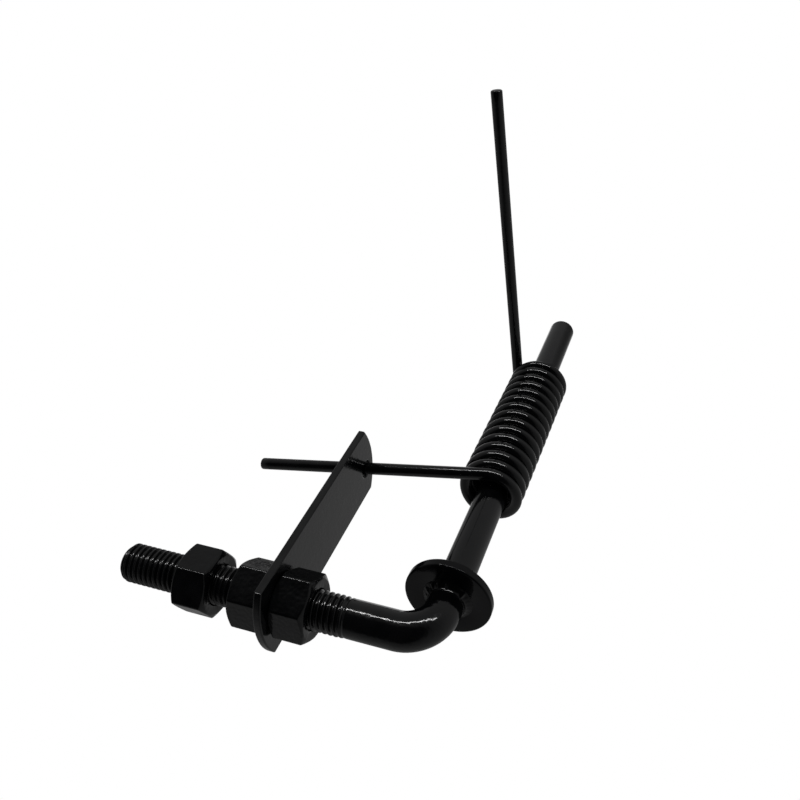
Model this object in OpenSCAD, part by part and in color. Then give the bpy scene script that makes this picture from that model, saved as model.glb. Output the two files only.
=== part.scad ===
// Gate hinge pin with a spring closer.
// A bent rod bolts through a gate post by its threaded shank. The gate's hinge eye turns on the upright
// pin and rests on the collar. A coil spring round the pin is held by a plate on the shank and pushes
// the gate shut with its long arm.
// The origin is where the pin's axis meets the collar's seat. X runs along the shank, Z along the pin.

/* [Rod] */
// Diameter of the plain rod, from the shank to the collar
rod_d = 11.3; // [10.9:0.1:11.6]
// Diameter of the hinge pin above the collar
pin_d = 10.6; // [9:0.1:10.6]
// Height of the pin above the collar's seat
pin_h = 161.8; // [140:0.2:230]
// Chamfer at the pin's end
pin_chamfer = 1.6; // [0.4:0.1:3]
// Height of the collar's seat above the shank's axis
seat_h = 17.6; // [17:0.1:26]
// Bend radius at the middle of the rod
bend_r = 10.5; // [9:0.5:12.5]
// Length of the shank from the pin's axis to its free end
shank_len = 99.8; // [94:0.2:140]

/* [Thread] */
// Diameter over the thread's crests
thread_d = 11.8; // [11.7:0.1:12]
// Distance from one crest to the next
thread_pitch = 1.75; // [1.25:0.25:2]
// Depth of the thread
thread_depth = 1.05; // [0.6:0.05:1.1]
// Length of the thread from the shank's free end
thread_len = 76; // [70:0.5:78]
// Chamfer at the thread's free end
thread_chamfer = 1.5; // [0.5:0.1:2]

/* [Collar] */
// Diameter of the collar
collar_d = 27.2; // [24:0.1:32]
// Thickness of the collar
collar_t = 2.8; // [2:0.1:4.2]
// Rounding of the collar's rim
collar_round = 0.5; // [0.2:0.1:0.9]
// Radial gap between the collar's bore and the rod
collar_gap = 0.05; // [0.02:0.01:0.2]
// Leg of the weld under the collar
weld_leg = 2.2; // [1.5:0.1:2.6]

/* [Spring] */
// Diameter of the spring's wire
wire_d = 4.2; // [3.5:0.1:4.6]
// Diameter over the spring's turns
coil_d = 23; // [22:0.2:28]
// Distance from one turn to the next
coil_pitch = 5.02; // [4.6:0.02:5.6]
// Whole turns of the coil
coil_turns = 14; // [8:1:15]
// Height of the lowest turn above the collar's seat
coil_h = 44.1; // [38:0.1:48]
// Length of the leg that the plate holds
leg_len = 87.6; // [60:0.2:100]
// Angle of that leg away from the shank's direction
leg_slant = 10.6; // [8:0.1:12]
// Length of the arm that pushes the gate
arm_len = 119.6; // [60:0.2:160]
// Distance of the loose coil's lower end from the pin's axis, towards the shank's free end
coil_shift = 1.1; // [0:0.05:1.1]
// Distance of its upper end from the pin's axis, the same way
coil_shift_top = 0.25; // [0:0.05:1.1]
// Angle of the arm away from the direction square to the shank
arm_slant = 5.1; // [0:0.1:12]

/* [Plate] */
// Width of the plate
plate_w = 26.3; // [25:0.1:32]
// Thickness of the plate
plate_t = 2.5; // [2:0.1:4]
// Distance from the pin's axis to the plate's middle
plate_x = 47.7; // [45:0.1:52]
// Height of the plate's upper end above the middle of the spring's leg
plate_over = 6.1; // [5.2:0.1:14]
// Length of the plate's straight sides below the shank's axis
plate_down = 8.5; // [7:0.1:14]
// Rise of the rounded ends
plate_rise = 3.8; // [2.8:0.2:8]
// Lean of the plate about the shank
plate_lean = 2.7; // [0:0.1:6]
// Gap round the spring's leg in its hole
leg_gap = 0.95; // [0.8:0.05:1.3]
// Gap round the shank in its hole
shank_gap = 0.4; // [0.2:0.05:0.8]

/* [Nuts] */
// Width across the nuts' flats
nut_af = 18.4; // [17.5:0.1:19.5]
// Height of a nut
nut_h = 11.2; // [8:0.1:11.5]
// Radial gap between a nut's bore and the thread's crests
nut_gap = 0.05; // [0.02:0.01:0.1]
// Width of the countersink at each end of a nut's bore
nut_sink = 0.6; // [0.3:0.1:1]
// Space for the post's wall between the fixing nut and the outer lock nut
post_space = 7.3; // [6.5:0.1:30]
// Turn of the fixing nut
fixing_turn = 29; // [0:0.5:60]
// Turn of the outer lock nut
outer_turn = 58; // [0:0.5:60]
// Turn of the inner lock nut
inner_turn = 58; // [0:0.5:60]

/* [Hidden] */
$fn = 64;
paint = "#17181a";
round_sides = 64;

rod_r = rod_d / 2;
pin_r = pin_d / 2;
crest_r = thread_d / 2;
root_r = crest_r - thread_depth;
shank_z = -seat_h;

// Thread: each crest is a flat ridge an eighth of the pitch wide, between flanks that leave a flat root.
crest_w = thread_pitch / 8;
root_w = thread_pitch / 4;
flank_w = (thread_pitch - crest_w - root_w) / 2;
ridge_count = floor((thread_len - thread_chamfer) / thread_pitch);
ridge_0 = shank_len - thread_chamfer - ridge_count * thread_pitch;

// Coil: the leg meets it on the side of -Y and the arm leaves it on the side of -X.
wire_r = wire_d / 2;
coil_r = coil_d / 2 - wire_r;
turn_0 = -90 - leg_slant;
turn_1 = 180 - arm_slant + 360 * coil_turns;
coil_sweep = turn_1 - turn_0;
arm_h = coil_h + coil_pitch * coil_sweep / 360;
wire_sides = 6;
rings_per_turn = 8;
coil_rings = round(coil_sweep / 360 * rings_per_turn);

// Plate: where the leg crosses the plate's middle, seen in the plate's own upright outline.
leg_run = (plate_x - coil_shift + coil_r * cos(turn_0)) / cos(leg_slant);
leg_y = coil_r * sin(turn_0) + leg_run * sin(leg_slant);
leg_rise = coil_h + seat_h;
hole_u = leg_y * cos(plate_lean) + leg_rise * sin(plate_lean);
hole_v = leg_rise * cos(plate_lean) - leg_y * sin(plate_lean);
leg_hole_r = wire_r + leg_gap;
end_r = plate_w * plate_w / (8 * plate_rise) + plate_rise / 2;
plate_up = hole_v + plate_over - plate_rise;

// Nuts: distances of their ends on the bend's side from the pin's axis.
inner_x = -plate_x + plate_t / 2 + nut_h;
outer_x = -plate_x - plate_t / 2;
fixing_x = outer_x - nut_h - post_space;

// Points along the wire, from the leg's free end to the straight end that carries the arm.
function heading(a) = [-sin(a), cos(a), 0];
function shift_at(a) = coil_shift + (coil_shift_top - coil_shift) * (a - turn_0) / coil_sweep;
function on_coil(a) = [coil_r * cos(a) - shift_at(a), coil_r * sin(a), coil_h + coil_pitch * (a - turn_0) / 360];
coil_angles = [for (i = [0 : coil_rings]) turn_0 + coil_sweep * i / coil_rings];
wire_path = concat(
    [on_coil(turn_0) - leg_len * heading(turn_0)],
    [for (a = coil_angles) on_coil(a)],
    [on_coil(turn_1) + wire_d * heading(turn_1)]);
wire_angles = concat([turn_0], coil_angles, [turn_1]);

// One ring of the wire: one of its flats faces the pin.
function wire_ring(p, a) = [for (k = [0 : wire_sides - 1]) let (t = 360 * (k + 1 / 2) / wire_sides)
    p + wire_r * (cos(t) * [cos(a), sin(a), 0] + sin(t) * [0, 0, 1])];
wire_rings = [for (i = [0 : len(wire_path) - 1]) wire_ring(wire_path[i], wire_angles[i])];

// Least gap between a turn and the next one, measured on the rings' points.
least_gap = min([for (i = [1 : coil_rings - rings_per_turn]) for (j = [-1 : 1]) for (p = wire_rings[i])
    for (q = wire_rings[i + rings_per_turn + j]) norm(p - q)]);
echo(least_gap_between_turns = least_gap);

module along_shank(x) {
    translate([x, 0, shank_z])
        rotate([0, -90, 0])
            children();
}

module shank() {
    ridges = [for (i = [0 : ridge_count - 1])
        let (h = ridge_0 + i * thread_pitch)
            each [[root_r, h], [crest_r, h + flank_w], [crest_r, h + flank_w + crest_w],
                  [root_r, h + 2 * flank_w + crest_w]]];
    tip_r = root_r - thread_chamfer / 3;
    outline = concat(
        [[0, bend_r], [rod_r, bend_r], [rod_r, ridge_0 - root_w]],
        ridges,
        [[root_r, shank_len - thread_chamfer], [tip_r, shank_len], [0, shank_len]]);
    along_shank(0)
        rotate_extrude($fn = round_sides)
            polygon(outline);
}

module bend() {
    translate([-bend_r, 0, shank_z + bend_r])
        rotate([90, 0, 0])
            rotate([0, 0, -90])
                rotate_extrude(angle = 90, $fn = round_sides)
                    translate([bend_r, 0])
                        circle(rod_r);
}

module pin() {
    rotate_extrude($fn = round_sides)
        polygon([[0, shank_z + bend_r], [rod_r, shank_z + bend_r], [rod_r, 0], [pin_r, 0],
                 [pin_r, pin_h - pin_chamfer], [pin_r - pin_chamfer, pin_h], [0, pin_h]]);
}

module hinge_rod() {
    color(paint)
        union() {
            shank();
            bend();
            pin();
        }
}

module collar() {
    bore_r = rod_r + collar_gap;
    rim_r = collar_d / 2;
    color(paint)
        rotate_extrude($fn = round_sides)
            polygon([[bore_r, -collar_t], [rim_r - collar_round, -collar_t], [rim_r, -collar_t + collar_round],
                     [rim_r, -collar_round], [rim_r - collar_round, 0], [bore_r, 0]]);
}

module collar_weld() {
    color(paint)
        rotate_extrude($fn = round_sides)
            polygon([[rod_r, -collar_t], [rod_r + weld_leg, -collar_t],
                     [rod_r + weld_leg * 0.42, -collar_t - weld_leg * 0.42], [rod_r, -collar_t - weld_leg]]);
}

module plate_end() {
    intersection() {
        translate([0, plate_rise - end_r])
            circle(end_r);
        translate([-plate_w / 2, 0])
            square([plate_w, plate_rise]);
    }
}

module anchor_plate() {
    color(paint)
        translate([-plate_x - plate_t / 2, 0, shank_z])
            rotate([plate_lean, 0, 0])
                rotate([90, 0, 90])
                    linear_extrude(plate_t)
                        difference() {
                            union() {
                                translate([-plate_w / 2, -plate_down])
                                    square([plate_w, plate_up + plate_down]);
                                translate([0, plate_up])
                                    plate_end();
                                translate([0, -plate_down])
                                    rotate(180)
                                        plate_end();
                            }
                            circle(crest_r + shank_gap);
                            translate([hole_u, hole_v])
                                circle(leg_hole_r);
                        }
}

// A plain hexagon nut on the shank, from x towards the shank's free end.
module hex_nut(x, turn) {
    bore_r = crest_r + nut_gap;
    face_r = nut_af * 0.475;
    corner_r = nut_af / sqrt(3) + 0.1;
    slope_h = (corner_r - face_r) * tan(30);
    color(paint)
        translate([x - nut_h, 0, shank_z])
            rotate([turn, 0, 0])
                rotate([90, 0, 90])
                    difference() {
                        intersection() {
                            cylinder(h = nut_h, d = nut_af / cos(30), $fn = 6);
                            rotate_extrude($fn = round_sides)
                                polygon([[0, 0], [face_r, 0], [corner_r, slope_h],
                                         [corner_r, nut_h - slope_h], [face_r, nut_h], [0, nut_h]]);
                        }
                        translate([0, 0, -1])
                            cylinder(h = nut_h + 2, r = bore_r);
                        translate([0, 0, -nut_sink])
                            cylinder(h = 2 * nut_sink, r1 = bore_r + 2 * nut_sink, r2 = bore_r);
                        translate([0, 0, nut_h - nut_sink])
                            cylinder(h = 2 * nut_sink, r1 = bore_r, r2 = bore_r + 2 * nut_sink);
                    }
}

module fixing_nut() {
    hex_nut(fixing_x, fixing_turn);
}

module outer_lock_nut() {
    hex_nut(outer_x, outer_turn);
}

module inner_lock_nut() {
    hex_nut(inner_x, inner_turn);
}

// One unbroken wire: the held leg, the turns and the straight end that carries the arm.
module spring_coil() {
    last = len(wire_rings) - 1;
    sides = [for (i = [0 : last - 1]) for (k = [0 : wire_sides - 1])
        let (a = i * wire_sides + k, b = i * wire_sides + (k + 1) % wire_sides)
            each [[a, a + wire_sides, b], [b, a + wire_sides, b + wire_sides]]];
    first_cap = [for (k = [1 : wire_sides - 2]) [0, k, k + 1]];
    end = last * wire_sides;
    last_cap = [for (k = [1 : wire_sides - 2]) [end, end + k + 1, end + k]];
    color(paint)
        polyhedron([for (r = wire_rings) each r], concat(sides, first_cap, last_cap));
}

module spring_arm() {
    start = on_coil(turn_1) + wire_d * heading(turn_1);
    color(paint)
        translate(start)
            rotate([0, 0, turn_1])
                rotate([-90, 0, 0])
                    cylinder(h = arm_len - wire_d, r = wire_r);
}

hinge_rod();
collar();
collar_weld();
anchor_plate();
fixing_nut();
outer_lock_nut();
inner_lock_nut();
spring_coil();
spring_arm();
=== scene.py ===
"""Gate hinge pin with a spring closer, dressed in gloss black paint on a white ground."""
import math

import bmesh
import bpy
from mathutils import Matrix, Vector


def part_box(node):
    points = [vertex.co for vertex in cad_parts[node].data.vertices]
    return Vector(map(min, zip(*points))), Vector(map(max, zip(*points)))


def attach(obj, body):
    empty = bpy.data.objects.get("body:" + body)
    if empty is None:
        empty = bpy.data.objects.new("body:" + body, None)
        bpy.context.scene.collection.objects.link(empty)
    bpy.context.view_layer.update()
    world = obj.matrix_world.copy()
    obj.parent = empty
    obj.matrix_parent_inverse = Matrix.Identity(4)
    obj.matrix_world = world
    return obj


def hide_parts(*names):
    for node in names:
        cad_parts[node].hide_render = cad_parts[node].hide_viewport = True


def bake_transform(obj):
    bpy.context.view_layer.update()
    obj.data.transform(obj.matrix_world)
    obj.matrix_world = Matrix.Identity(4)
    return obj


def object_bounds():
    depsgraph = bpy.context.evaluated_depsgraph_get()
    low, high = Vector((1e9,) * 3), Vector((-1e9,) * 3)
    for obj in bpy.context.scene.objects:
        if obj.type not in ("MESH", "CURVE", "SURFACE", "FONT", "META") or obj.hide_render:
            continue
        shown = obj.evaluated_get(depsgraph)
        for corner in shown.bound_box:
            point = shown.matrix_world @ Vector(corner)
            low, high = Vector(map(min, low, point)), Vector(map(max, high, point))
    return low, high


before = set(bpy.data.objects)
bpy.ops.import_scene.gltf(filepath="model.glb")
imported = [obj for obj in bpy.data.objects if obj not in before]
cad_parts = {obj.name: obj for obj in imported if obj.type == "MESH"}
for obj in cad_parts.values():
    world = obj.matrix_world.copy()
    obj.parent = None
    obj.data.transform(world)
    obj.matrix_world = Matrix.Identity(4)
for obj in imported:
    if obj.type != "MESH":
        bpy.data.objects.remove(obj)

CAD_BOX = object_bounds()
MM = 0.001
TAU = 2 * math.pi

# Sizes of the part, in metres and radians. X runs along the shank, Z up the pin, and the origin is on the
# collar's seat.
ROD_R = 5.65 * MM
PIN_R = 5.3 * MM
PIN_CHAMFER = 1.6 * MM
BEND_R = 10.5 * MM
THREAD_R = 5.9 * MM
THREAD_DEPTH = 0.95 * MM
THREAD_PITCH = 1.75 * MM
THREAD_LEN = 76 * MM
WIRE_R = 2.1 * MM
COIL_R = 9.4 * MM
COIL_PITCH = 5.02 * MM
COIL_H = 44.1 * MM
COIL_SHIFT = 1.1 * MM
COIL_SHIFT_TOP = 0.25 * MM
COIL_TURNS = 14
LEG_LEN = 87.6 * MM
LEG_SLANT = math.radians(10.6)
ARM_LEN = 119.6 * MM
ARM_SLANT = math.radians(5.1)
PLATE_W = 26.3 * MM
PLATE_RISE = 3.8 * MM
PLATE_DOWN = 8.5 * MM
PLATE_OVER = 6.1 * MM
PLATE_LEAN = math.radians(2.7)
LEG_GAP = 0.95 * MM
SHANK_GAP = 0.4 * MM
NUT_AF = 18.4 * MM
NUT_SINK = 0.6 * MM
NUT_DEGREES = {"fixing_nut": 29.0, "outer_lock_nut": 58.0, "inner_lock_nut": 58.0}
WELD_LEG = 2.2 * MM

# Places that the frame gives.
rod_low, rod_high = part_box("hinge_rod")
collar_low, collar_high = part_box("collar")
plate_low, plate_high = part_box("anchor_plate")
nut_low, nut_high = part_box("fixing_nut")
PIN_H = rod_high.z
SHANK_END = rod_low.x
SHANK_Z = (nut_low.z + nut_high.z) / 2
COLLAR_R = collar_high.x
COLLAR_T = -collar_low.z


def smooth(t):
    t = min(max(t, 0.0), 1.0)
    return t * t * (3 - 2 * t)


def mix(a, b, t):
    return a + (b - a) * t


# Materials

BLACKS = ((0.0009, 0.0010, 0.0012, 1), (0.0018, 0.0019, 0.0023, 1))
COAT_ROUGHNESS = 0.06
SPECK_SHARE = 0.12


def black_paint(name, peel, sag, low, high, coat=0.35, shine=0.5):
    """Gloss black paint: peel and sag are the heights of its fine and broad waves, low and high its roughness.

    The coat is a thin clear layer over it, and shine how much of the room the paint itself mirrors."""
    mat = bpy.data.materials.new(name)
    mat.use_nodes = True
    nodes, links = mat.node_tree.nodes, mat.node_tree.links
    shader = nodes["Principled BSDF"]
    shader.inputs["Specular IOR Level"].default_value = shine
    shader.inputs["Coat Weight"].default_value = coat
    shader.inputs["Coat Roughness"].default_value = COAT_ROUGHNESS
    where = nodes.new("ShaderNodeTexCoord")

    def waves(scale, detail):
        noise = nodes.new("ShaderNodeTexNoise")
        noise.inputs["Scale"].default_value = scale
        noise.inputs["Detail"].default_value = detail
        links.new(where.outputs["Object"], noise.inputs["Vector"])
        return noise.outputs["Fac"]

    def ramp(fac, start, end, first, last):
        node = nodes.new("ShaderNodeValToRGB")
        node.color_ramp.elements[0].position = start
        node.color_ramp.elements[1].position = end
        node.color_ramp.elements[0].color = first
        node.color_ramp.elements[1].color = last
        links.new(fac, node.inputs["Fac"])
        return node.outputs["Color"]

    broad = waves(160, 3)
    fine = waves(900, 0)
    specks = waves(2600, 0)
    links.new(ramp(broad, 0.3, 0.7, *BLACKS), shader.inputs["Base Color"])
    links.new(ramp(broad, 0.35, 0.65, (low, low, low, 1), (high, high, high, 1)), shader.inputs["Roughness"])
    normal = None
    for height, distance in ((broad, sag), (fine, peel), (specks, peel * SPECK_SHARE)):
        bump = nodes.new("ShaderNodeBump")
        bump.inputs["Strength"].default_value = 1.0
        bump.inputs["Distance"].default_value = distance
        links.new(height, bump.inputs["Height"])
        if normal:
            links.new(normal, bump.inputs["Normal"])
        normal = bump.outputs["Normal"]
    links.new(normal, shader.inputs["Normal"])
    return mat


ROD_PAINT = black_paint("rod_paint", 0.055 * MM, 0.06 * MM, 0.07, 0.15)
PIN_PAINT = black_paint("pin_paint", 0.015 * MM, 0.06 * MM, 0.08, 0.18)
THREAD_PAINT = black_paint("thread_paint", 0.060 * MM, 0.05 * MM, 0.12, 0.24)
COLLAR_PAINT = black_paint("collar_paint", 0.015 * MM, 0.05 * MM, 0.08, 0.16, coat=0.1, shine=0.3)
PLATE_PAINT = black_paint("plate_paint", 0.035 * MM, 0.08 * MM, 0.12, 0.24)
NUT_PAINT = black_paint("nut_paint", 0.060 * MM, 0.10 * MM, 0.10, 0.20, coat=0.15, shine=0.45)
SPRING_PAINT = black_paint("spring_paint", 0.035 * MM, 0.03 * MM, 0.07, 0.16)
WELD_PAINT = black_paint("weld_paint", 0.030 * MM, 0.15 * MM, 0.08, 0.20, coat=0.2, shine=0.4)


# Meshes


def from_rows(name, rows, loop=False):
    """A mesh over rows of points that each go round.

    A loop joins the last row to the first, and the ends of other rows are capped."""
    count = len(rows[0])
    points = [p for row in rows for p in row]
    faces = []
    for i in range(len(rows) if loop else len(rows) - 1):
        j = (i + 1) % len(rows)
        for k in range(count):
            n = (k + 1) % count
            faces.append((i * count + k, i * count + n, j * count + n, j * count + k))
    if not loop:
        faces.append(tuple(reversed(range(count))))
        faces.append(tuple(range(len(points) - count, len(points))))
    mesh = bpy.data.meshes.new(name)
    mesh.from_pydata([tuple(p) for p in points], [], faces)
    mesh.validate()
    mesh.polygons.foreach_set("use_smooth", [True] * len(mesh.polygons))
    piece = bpy.data.objects.new(name, mesh)
    bpy.context.scene.collection.objects.link(piece)
    return piece


def face_outwards(piece):
    """Turns all faces outwards."""
    work = bmesh.new()
    work.from_mesh(piece.data)
    bmesh.ops.recalc_face_normals(work, faces=work.faces)
    work.to_mesh(piece.data)
    work.free()


def crisp(piece):
    """Keeps wide faces flat next to their narrow rounded edges."""
    normals = piece.modifiers.new("flat_faces", "WEIGHTED_NORMAL")
    normals.mode = "FACE_AREA"
    normals.weight = 90


def dress(piece, body, node, paint):
    """Paints a rigid piece, puts it in its node's place and lets it ride on a body."""
    face_outwards(piece)
    piece.data.materials.append(paint)
    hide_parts(node)
    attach(piece, body)


def corner(radius, steps, first, last, middle):
    """Points of a round edge about middle, between two angles in degrees."""
    turns = [math.radians(mix(first, last, i / steps)) for i in range(steps + 1)]
    return [(middle[0] + radius * math.cos(t), middle[1] + radius * math.sin(t)) for t in turns]


# Rod

# The thread's root and flank as shares of half a pitch, its run-out into the plain rod and its end's chamfer.
ROOT_SHARE = 0.12
FLANK_SHARE = 0.72
RUN_OUT = 2.2 * THREAD_PITCH
END_R = THREAD_R - THREAD_DEPTH - 0.35 * MM
END_SLOPE = 0.95


def thread_radius(run, angle):
    """Radius of the shank at a distance from its free end: rounded ridges on one right-hand helix."""
    phase = (run / THREAD_PITCH - angle / TAU) % 1.0
    ridge = smooth((1 - abs(2 * phase - 1) - ROOT_SHARE) / FLANK_SHARE)
    radius = THREAD_R - THREAD_DEPTH * (1 - ridge)
    radius = mix(radius, ROD_R, smooth((run - THREAD_LEN + RUN_OUT) / RUN_OUT))
    return min(radius, END_R + run * END_SLOPE)


def rod_rows():
    """Rings along the rod: the threaded shank, its plain end, the bend and the pin with its chamfer."""
    sides = 72
    bend_steps = 32
    pin_steps = 12
    step = THREAD_PITCH / 14
    angles = [TAU * k / sides for k in range(sides)]
    across = Vector((0, 1, 0))
    rows = []

    def ring(middle, up, radius):
        rows.append([middle + radius(a) * (math.cos(a) * across + math.sin(a) * up) for a in angles])

    run = 0.0
    while run < THREAD_LEN:
        ring(Vector((SHANK_END + run, 0, SHANK_Z)), Vector((0, 0, 1)), lambda a, r=run: thread_radius(r, a))
        run += step
    for x in (-BEND_R - 8 * MM, -BEND_R - 4 * MM):
        ring(Vector((x, 0, SHANK_Z)), Vector((0, 0, 1)), lambda a: ROD_R)
    for i in range(bend_steps + 1):
        turn = math.pi / 2 * i / bend_steps
        middle = Vector((-BEND_R + BEND_R * math.sin(turn), 0, SHANK_Z + BEND_R - BEND_R * math.cos(turn)))
        ring(middle, Vector((-math.sin(turn), 0, math.cos(turn))), lambda a: ROD_R)
    pin = [(ROD_R, -2 * MM), (ROD_R, -0.1 * MM), (PIN_R, 0.1 * MM)]
    pin += [(PIN_R, PIN_H * i / pin_steps) for i in range(1, pin_steps)]
    pin += corner(PIN_CHAMFER, 8, 0, 82, (PIN_R - PIN_CHAMFER, PIN_H - PIN_CHAMFER))
    for radius, z in pin:
        ring(Vector((0, 0, z)), Vector((-1, 0, 0)), lambda a, r=radius: r)
    return rows


rod = from_rows("bent_rod", rod_rows())
dress(rod, "rod", "hinge_rod", ROD_PAINT)
rod.data.materials.append(THREAD_PAINT)
rod.data.materials.append(PIN_PAINT)
thread_end = SHANK_END + THREAD_LEN - THREAD_PITCH
for face in rod.data.polygons:
    if face.center.x < thread_end:
        face.material_index = 1
    elif face.center.z > 0:
        face.material_index = 2
crisp(rod)


# Collar and its weld


def turned(name, outline, sides=128):
    """A ring turned about the pin's axis from a closed outline of (radius, height) points."""
    rows = [
        [Vector((r * math.cos(TAU * i / sides), r * math.sin(TAU * i / sides), z)) for r, z in outline]
        for i in range(sides)
    ]
    return from_rows(name, rows, loop=True)


RIM = 0.55 * MM
BORE_EDGE = 0.3 * MM
SUNK = 0.2 * MM
collar_outline = [(ROD_R - SUNK, -COLLAR_T)]
collar_outline += corner(RIM, 5, -90, 0, (COLLAR_R - RIM, -COLLAR_T + RIM))
collar_outline += corner(RIM, 5, 0, 90, (COLLAR_R - RIM, -RIM))
collar_outline += [(PIN_R + BORE_EDGE, 0.0), (PIN_R - SUNK, -BORE_EDGE)]
collar = turned("collar_disc", collar_outline)
dress(collar, "rod", "collar", COLLAR_PAINT)
crisp(collar)


# Drops on the weld: place and width in degrees, height in millimetres.
WELD_DROPS = (
    (165, 4, 0.45),
    (184, 3, 0.35),
    (203, 5, 0.5),
    (226, 3, 0.4),
    (247, 4, 0.45),
    (271, 3, 0.3),
    (320, 5, 0.45),
)
WELD_FILL = 0.90
WELD_ROOT = 0.3 * MM
WELD_TOE = 0.05 * MM
WELD_SEAT = 0.02 * MM


def weld_rows():
    """A hand-laid fillet: hollow between its two toes, which wander round the rod, with drops left on it."""
    steps = 240
    arc_steps = 16
    rows = []
    for i in range(steps):
        a = TAU * i / steps
        wander = 0.05 * math.sin(2 * a + 0.4) + 0.04 * math.sin(3 * a + 2.1)
        ripple = 0.02 * math.sin(23 * a + 2 * math.sin(2 * a))
        out = WELD_LEG * (WELD_FILL + wander + ripple)
        down = WELD_LEG * (WELD_FILL - wander + ripple)
        drop = MM * sum(
            height * math.exp(-((math.degrees(a) - place) / width) ** 2) for place, width, height in WELD_DROPS
        )
        section = [(ROD_R - WELD_ROOT, -COLLAR_T + WELD_ROOT)]
        for k in range(arc_steps + 1):
            t = math.pi / 2 * k / arc_steps
            proud = drop * math.sin(2 * t) ** 2 + WELD_TOE * math.cos(2 * t)
            r = ROD_R + out * (1 - math.sin(t)) + proud * math.cos(t)
            z = -COLLAR_T - down * (1 - math.cos(t)) - proud * math.sin(t)
            section.append((r, min(z, -COLLAR_T + WELD_SEAT)))
        rows.append([Vector((r * math.cos(a), r * math.sin(a), z)) for r, z in section])
    return rows


weld = from_rows("weld_bead", weld_rows(), loop=True)
dress(weld, "rod", "collar_weld", WELD_PAINT)


# Anchor plate


def plate_piece():
    """The plate's outline with its two holes, filled, thickened and softened along every edge."""
    soft = 0.5 * MM
    end_steps = 40
    hole_steps = 48
    leg_turn = -math.pi / 2 - LEG_SLANT
    middle_x = (plate_low.x + plate_high.x) / 2
    leg_run = (-middle_x - COIL_SHIFT + COIL_R * math.cos(leg_turn)) / math.cos(LEG_SLANT)
    leg_y = COIL_R * math.sin(leg_turn) + leg_run * math.sin(LEG_SLANT)
    leg_z = COIL_H - SHANK_Z
    hole = (
        leg_y * math.cos(PLATE_LEAN) + leg_z * math.sin(PLATE_LEAN),
        leg_z * math.cos(PLATE_LEAN) - leg_y * math.sin(PLATE_LEAN),
    )
    top = hole[1] + PLATE_OVER - PLATE_RISE
    end_r = PLATE_W ** 2 / (8 * PLATE_RISE) + PLATE_RISE / 2
    half = math.degrees(math.asin((PLATE_W / 2 - soft) / (end_r - soft)))
    top_middle = (0, top + PLATE_RISE - end_r)
    low_middle = (0, -PLATE_DOWN - PLATE_RISE + end_r)
    outline = corner(end_r - soft, end_steps, 90 - half, 90 + half, top_middle)
    outline += corner(end_r - soft, end_steps, 270 - half, 270 + half, low_middle)
    loops = [outline]
    for radius, place in ((THREAD_R + SHANK_GAP, (0, 0)), (WIRE_R + LEG_GAP, hole)):
        loops.append(corner(radius + soft, hole_steps - 1, 0, 360 * (hole_steps - 1) / hole_steps, place))
    curve = bpy.data.curves.new("plate_outline", "CURVE")
    curve.dimensions = "2D"
    curve.fill_mode = "BOTH"
    curve.extrude = (plate_high.x - plate_low.x) / 2 - soft
    curve.bevel_depth = soft
    curve.bevel_resolution = 3
    for points in loops:
        spline = curve.splines.new("POLY")
        spline.points.add(len(points) - 1)
        for point, (u, v) in zip(spline.points, points):
            point.co = (u, v, 0, 1)
        spline.use_cyclic_u = True
    shape = bpy.data.objects.new("plate_shape", curve)
    bpy.context.scene.collection.objects.link(shape)
    bpy.context.view_layer.update()
    mesh = bpy.data.meshes.new_from_object(shape.evaluated_get(bpy.context.evaluated_depsgraph_get()))
    bpy.data.objects.remove(shape)
    upright = Matrix(((0, 0, 1, 0), (1, 0, 0, 0), (0, 1, 0, 0), (0, 0, 0, 1)))
    place = Matrix.Translation((middle_x, 0, SHANK_Z)) @ Matrix.Rotation(PLATE_LEAN, 4, "X") @ upright
    mesh.transform(place)
    mesh.polygons.foreach_set("use_smooth", [True] * len(mesh.polygons))
    mesh.name = "anchor_bar"
    piece = bpy.data.objects.new("anchor_bar", mesh)
    bpy.context.scene.collection.objects.link(piece)
    return piece


plate = plate_piece()
dress(plate, "anchor", "anchor_plate", PLATE_PAINT)
crisp(plate)


# Nuts

NUT_BORE_R = THREAD_R + 0.05 * MM
NUT_FACE_R = NUT_AF * 0.475
NUT_FACE_EDGE = 0.25 * MM
NUT_SLOPE = math.tan(math.radians(30))
# Degrees from a corner at which a nut has its points: close together where the corner is round.
FROM_CORNER = (0.0, 0.6, 1.2, 1.8, 2.5, 3.4, 4.6, 6.5, 9.5, 13, 17, 21, 25, 30)


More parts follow.
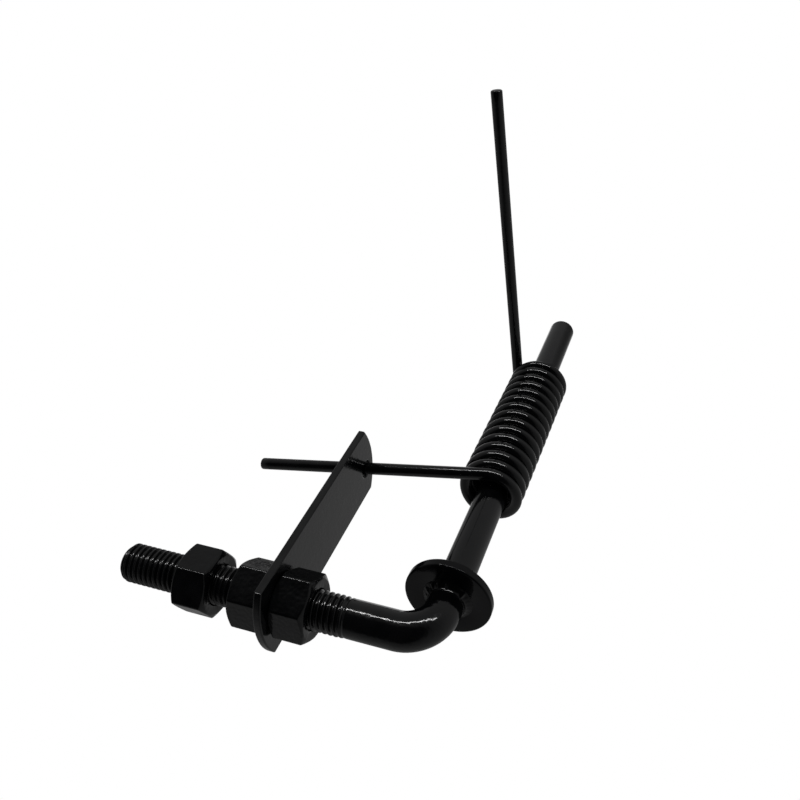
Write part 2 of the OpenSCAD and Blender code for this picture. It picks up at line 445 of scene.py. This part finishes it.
def nut_piece(node):
    """A plain hexagon nut: flats with rounded corners, a cone at both ends and a countersunk bore."""
    low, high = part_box(node)
    height = high.x - low.x
    edge = 0.8 * MM
    rim = 0.6 * MM
    places = [60 * s + sign * d for s in range(6) for d in FROM_CORNER for sign in (1, -1)]
    degrees = sorted({round(place, 4) % 360 for place in places})

    def flat(a):
        """Distance of a side from the axis, with its corners rounded to the radius edge."""
        off = math.radians((a + 30) % 60 - 30)
        middle = (NUT_AF / 2 - edge) / math.cos(math.pi / 6)
        if abs(off) > math.atan2(edge / 2, middle + edge * math.cos(math.pi / 6)):
            return NUT_AF / 2 / math.cos(math.pi / 6 - abs(off))
        return middle * math.cos(off) + math.sqrt(edge ** 2 - (middle * math.sin(off)) ** 2)

    def side(a, h):
        """A side cut back to a cone at both ends, with the edge between them rounded."""
        cone = NUT_FACE_R + min(h, height - h) / NUT_SLOPE
        near = max(rim - abs(flat(a) - cone), 0) / rim
        return min(flat(a), cone) - rim * near ** 2 / 4

    steps, coarse = 90, 10
    cone_h = 1.6 * MM
    heights = []
    for i in range(steps + 1):
        h = height * i / steps
        if min(h, height - h) < cone_h or i % coarse == 0:
            heights.append(h)
    face = NUT_FACE_R - NUT_FACE_EDGE
    sunk = NUT_BORE_R + NUT_SINK
    rows = []
    for a in degrees:
        section = [(NUT_BORE_R, NUT_SINK), (sunk, 0.0), (face, 0.0)]
        section += [(side(a, h), h) for h in heights]
        section += [(face, height), (sunk, height), (NUT_BORE_R, height - NUT_SINK)]
        turn = math.radians(a + NUT_DEGREES[node])
        across, up = math.cos(turn), math.sin(turn)
        rows.append([Vector((low.x + h, r * across, SHANK_Z + r * up)) for r, h in section])
    return from_rows(node.replace("_nut", "_hexagon_nut"), rows, loop=True)


NUT_BODIES = {"fixing_nut": "post_nut", "outer_lock_nut": "outer_nut", "inner_lock_nut": "inner_nut"}
for node, body in NUT_BODIES.items():
    nut = nut_piece(node)
    dress(nut, body, node, NUT_PAINT)
    crisp(nut)


# Spring


def spring_rows():
    """One wire from the held leg's cut end, round the coil, to the arm's cut end.

    With it come the heights between which the coil twists."""
    sides = 20
    per_turn = 48
    leg_steps = 24
    arm_steps = 32
    beyond_wire = 1.01 * WIRE_R
    first = -math.pi / 2 - LEG_SLANT
    last = math.pi - ARM_SLANT + TAU * COIL_TURNS
    steps = round((last - first) / TAU * per_turn)

    def on_coil(a):
        shift = mix(COIL_SHIFT, COIL_SHIFT_TOP, (a - first) / (last - first))
        z = COIL_H + COIL_PITCH * (a - first) / TAU
        return Vector((COIL_R * math.cos(a) - shift, COIL_R * math.sin(a), z))

    def heading(a):
        return Vector((-math.sin(a), math.cos(a), 0))

    # A cut end's rounded edge: distances from the end, and what is taken off the radius there.
    cut = 0.35 * MM
    cut_edge = ((0.0, cut), (0.4 * cut, 0.35 * cut), (cut, 0.0))
    turns = [TAU * k / sides for k in range(sides)]
    rows = []

    def ring(middle, a, radius):
        out = Vector((math.cos(a), math.sin(a), 0))
        up = Vector((0, 0, 1))
        rows.append([middle + radius * (math.cos(t) * out + math.sin(t) * up) for t in turns])

    start, end = on_coil(first), on_coil(last)
    for back, off in cut_edge:
        ring(start - (LEG_LEN - back) * heading(first), first, WIRE_R - off)
    for i in range(leg_steps - 1, 0, -1):
        ring(start - LEG_LEN * i / leg_steps * heading(first), first, WIRE_R)
    for i in range(steps + 1):
        a = mix(first, last, i / steps)
        ring(on_coil(a), a, WIRE_R)
    for i in range(1, arm_steps):
        ring(end + ARM_LEN * i / arm_steps * heading(last), last, WIRE_R)
    for back, off in reversed(cut_edge):
        ring(end + (ARM_LEN - back) * heading(last), last, WIRE_R - off)
    return rows, start.z + beyond_wire, end.z - beyond_wire


wire_rows, twist_start, twist_end = spring_rows()
spring = from_rows("torsion_spring", wire_rows)
face_outwards(spring)
spring.data.materials.append(SPRING_PAINT)
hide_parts("spring_coil", "spring_arm")
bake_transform(spring)


# Stage, light and camera

# The floor is white up to the nearer of the two distances, and gone at the farther.
FLOOR_HALF = 3.0
FLOOR_COLOUR = (0.85, 0.85, 0.85, 1)
FLOOR_ROUGHNESS = 0.8
FLOOR_GLOW = 0.48
FADE = (0.2, 0.9)
WHITE = (1, 1, 1, 1)
# The even light of the room, and what gloss shows of it: levels that change with the lean towards two axes.
ROOM = (0.4, 0.4, 0.4, 1)
OVERHEAD = (0.25, 0.0, 0.968)
CEILING = ((-1, 0.16), (0.0, 0.16), (0.6, 0.20), (0.79, 0.21), (0.88, 0.21), (0.97, 0.05))
BACK = (0.0, 0.5, 0.866)
WALLS = ((-1, 0.02), (-0.75, 0.05), (-0.67, 0.2), (-0.57, 0.55), (-0.3, 0.85), (0.0, 1.0))


def make_floor():
    """A pale floor that keeps the part's shadow and fades into the white ground.

    Only the camera sees it, and from below it is clear."""
    half, z = FLOOR_HALF, CAD_BOX[0][2]
    corners = [(-half, -half, z), (half, -half, z), (half, half, z), (-half, half, z)]
    mesh = bpy.data.meshes.new("floor")
    mesh.from_pydata(corners, [], [(0, 1, 2, 3)])
    floor = bpy.data.objects.new("floor", mesh)
    bpy.context.scene.collection.objects.link(floor)
    mat = bpy.data.materials.new("floor_white")
    mat.use_nodes = True
    nodes, links = mat.node_tree.nodes, mat.node_tree.links
    pale = nodes["Principled BSDF"]
    pale.inputs["Base Color"].default_value = FLOOR_COLOUR
    pale.inputs["Roughness"].default_value = FLOOR_ROUGHNESS
    pale.inputs["Emission Color"].default_value = WHITE
    pale.inputs["Emission Strength"].default_value = FLOOR_GLOW
    clear = nodes.new("ShaderNodeBsdfTransparent")
    ray = nodes.new("ShaderNodeLightPath")
    side = nodes.new("ShaderNodeNewGeometry")
    where = nodes.new("ShaderNodeTexCoord")
    away = nodes.new("ShaderNodeVectorMath")
    away.operation = "LENGTH"
    fade = nodes.new("ShaderNodeMapRange")
    fade.interpolation_type = "SMOOTHSTEP"
    fade.inputs["From Min"].default_value = FADE[0]
    fade.inputs["From Max"].default_value = FADE[1]
    hidden = nodes.new("ShaderNodeMath")
    hidden.operation = "MAXIMUM"
    from_above = nodes.new("ShaderNodeMixShader")
    seen = nodes.new("ShaderNodeMixShader")
    links.new(where.outputs["Object"], away.inputs[0])
    links.new(away.outputs["Value"], fade.inputs["Value"])
    links.new(side.outputs["Backfacing"], hidden.inputs[0])
    links.new(fade.outputs["Result"], hidden.inputs[1])
    links.new(hidden.outputs["Value"], from_above.inputs["Fac"])
    links.new(pale.outputs["BSDF"], from_above.inputs[1])
    links.new(clear.outputs["BSDF"], from_above.inputs[2])
    links.new(ray.outputs["Is Camera Ray"], seen.inputs["Fac"])
    links.new(clear.outputs["BSDF"], seen.inputs[1])
    links.new(from_above.outputs["Shader"], seen.inputs[2])
    links.new(seen.outputs["Shader"], nodes["Material Output"].inputs["Surface"])
    floor.data.materials.append(mat)


def make_world():
    """White to the camera, an even grey light, and in gloss a dim studio that is darkest below and in front."""
    world = bpy.data.worlds.new("studio")
    bpy.context.scene.world = world
    world.use_nodes = True
    nodes, links = world.node_tree.nodes, world.node_tree.links
    where = nodes.new("ShaderNodeTexCoord")

    def levels(axis, stops):
        """Levels that change with how far a direction leans towards an axis, from -1 to 1."""
        lean = nodes.new("ShaderNodeVectorMath")
        lean.operation = "DOT_PRODUCT"
        lean.inputs[1].default_value = axis
        span = nodes.new("ShaderNodeMapRange")
        span.inputs["From Min"].default_value = -1
        ramp = nodes.new("ShaderNodeValToRGB")
        given = len(ramp.color_ramp.elements)
        for i, (lean_to, level) in enumerate(stops):
            place = (lean_to + 1) / 2
            stop = ramp.color_ramp.elements[i] if i < given else ramp.color_ramp.elements.new(place)
            stop.position = place
            stop.color = (level, level, level, 1)
        links.new(where.outputs["Generated"], lean.inputs[0])
        links.new(lean.outputs["Value"], span.inputs["Value"])
        links.new(span.outputs["Result"], ramp.inputs["Fac"])
        return ramp.outputs["Color"]

    room = nodes["Background"]
    room.inputs["Color"].default_value = ROOM
    walls = nodes.new("ShaderNodeBackground")
    links.new(levels(OVERHEAD, CEILING), walls.inputs["Color"])
    links.new(levels(BACK, WALLS), walls.inputs["Strength"])
    white = nodes.new("ShaderNodeBackground")
    white.inputs["Color"].default_value = WHITE
    ray = nodes.new("ShaderNodeLightPath")
    mirrored = nodes.new("ShaderNodeMath")
    mirrored.operation = "MAXIMUM"
    shown = nodes.new("ShaderNodeMixShader")
    choose = nodes.new("ShaderNodeMixShader")
    links.new(ray.outputs["Is Glossy Ray"], mirrored.inputs[0])
    links.new(ray.outputs["Is Transmission Ray"], mirrored.inputs[1])
    links.new(mirrored.outputs["Value"], shown.inputs["Fac"])
    links.new(room.outputs["Background"], shown.inputs[1])
    links.new(walls.outputs["Background"], shown.inputs[2])
    links.new(ray.outputs["Is Camera Ray"], choose.inputs["Fac"])
    links.new(shown.outputs["Shader"], choose.inputs[1])
    links.new(white.outputs["Background"], choose.inputs[2])
    links.new(choose.outputs["Shader"], nodes["World Output"].inputs["Surface"])


def make_lamp(name, place, aim, size, power):
    """A soft rectangular lamp at a place, turned to an aim, with its width and height in metres."""
    lamp = bpy.data.lights.new(name, "AREA")
    lamp.shape = "RECTANGLE"
    lamp.size, lamp.size_y = size
    lamp.energy = power
    lamp_object = bpy.data.objects.new(name, lamp)
    lamp_object.location = place
    lamp_object.rotation_euler = (Vector(aim) - Vector(place)).to_track_quat("-Z", "Y").to_euler()
    bpy.context.scene.collection.objects.link(lamp_object)


def make_camera():
    """The photograph's view: close to the part, from below its collar, with the side of -Y upwards."""
    eye = Vector((0.05859, -0.19196, -0.16306))
    ahead = Vector((-0.26631, 0.50423, 0.82148)).normalized()
    upward = Vector((-0.14412, -0.86351, 0.4833))
    focal_px, image_px = 825.95, 800
    middle_px = (465.7, 329.3)
    right = ahead.cross(upward).normalized()
    upward = right.cross(ahead)
    camera = bpy.data.cameras.new("photo_camera")
    camera.sensor_width = 36
    camera.lens = focal_px * camera.sensor_width / image_px
    camera.shift_x = (image_px / 2 - middle_px[0]) / image_px
    camera.shift_y = (middle_px[1] - image_px / 2) / image_px
    camera.clip_start = 0.005
    camera_object = bpy.data.objects.new("photo_camera", camera)
    turn = Matrix((right, upward, -ahead)).transposed()
    camera_object.matrix_world = Matrix.Translation(eye) @ turn.to_4x4()
    bpy.context.scene.collection.objects.link(camera_object)
    bpy.context.scene.camera = camera_object


make_floor()
make_world()
make_lamp("strip_lamp", (-0.05, -1.8, 0.24), (-0.02, 0, 0.03), (2.3, 0.07), 13.5)
make_lamp("soft_lamp", (-0.24, 0.6, 1.0), (0, 0, 0.03), (0.8, 0.8), 0.8)
make_camera()
bpy.context.scene.view_settings.view_transform = "Standard"
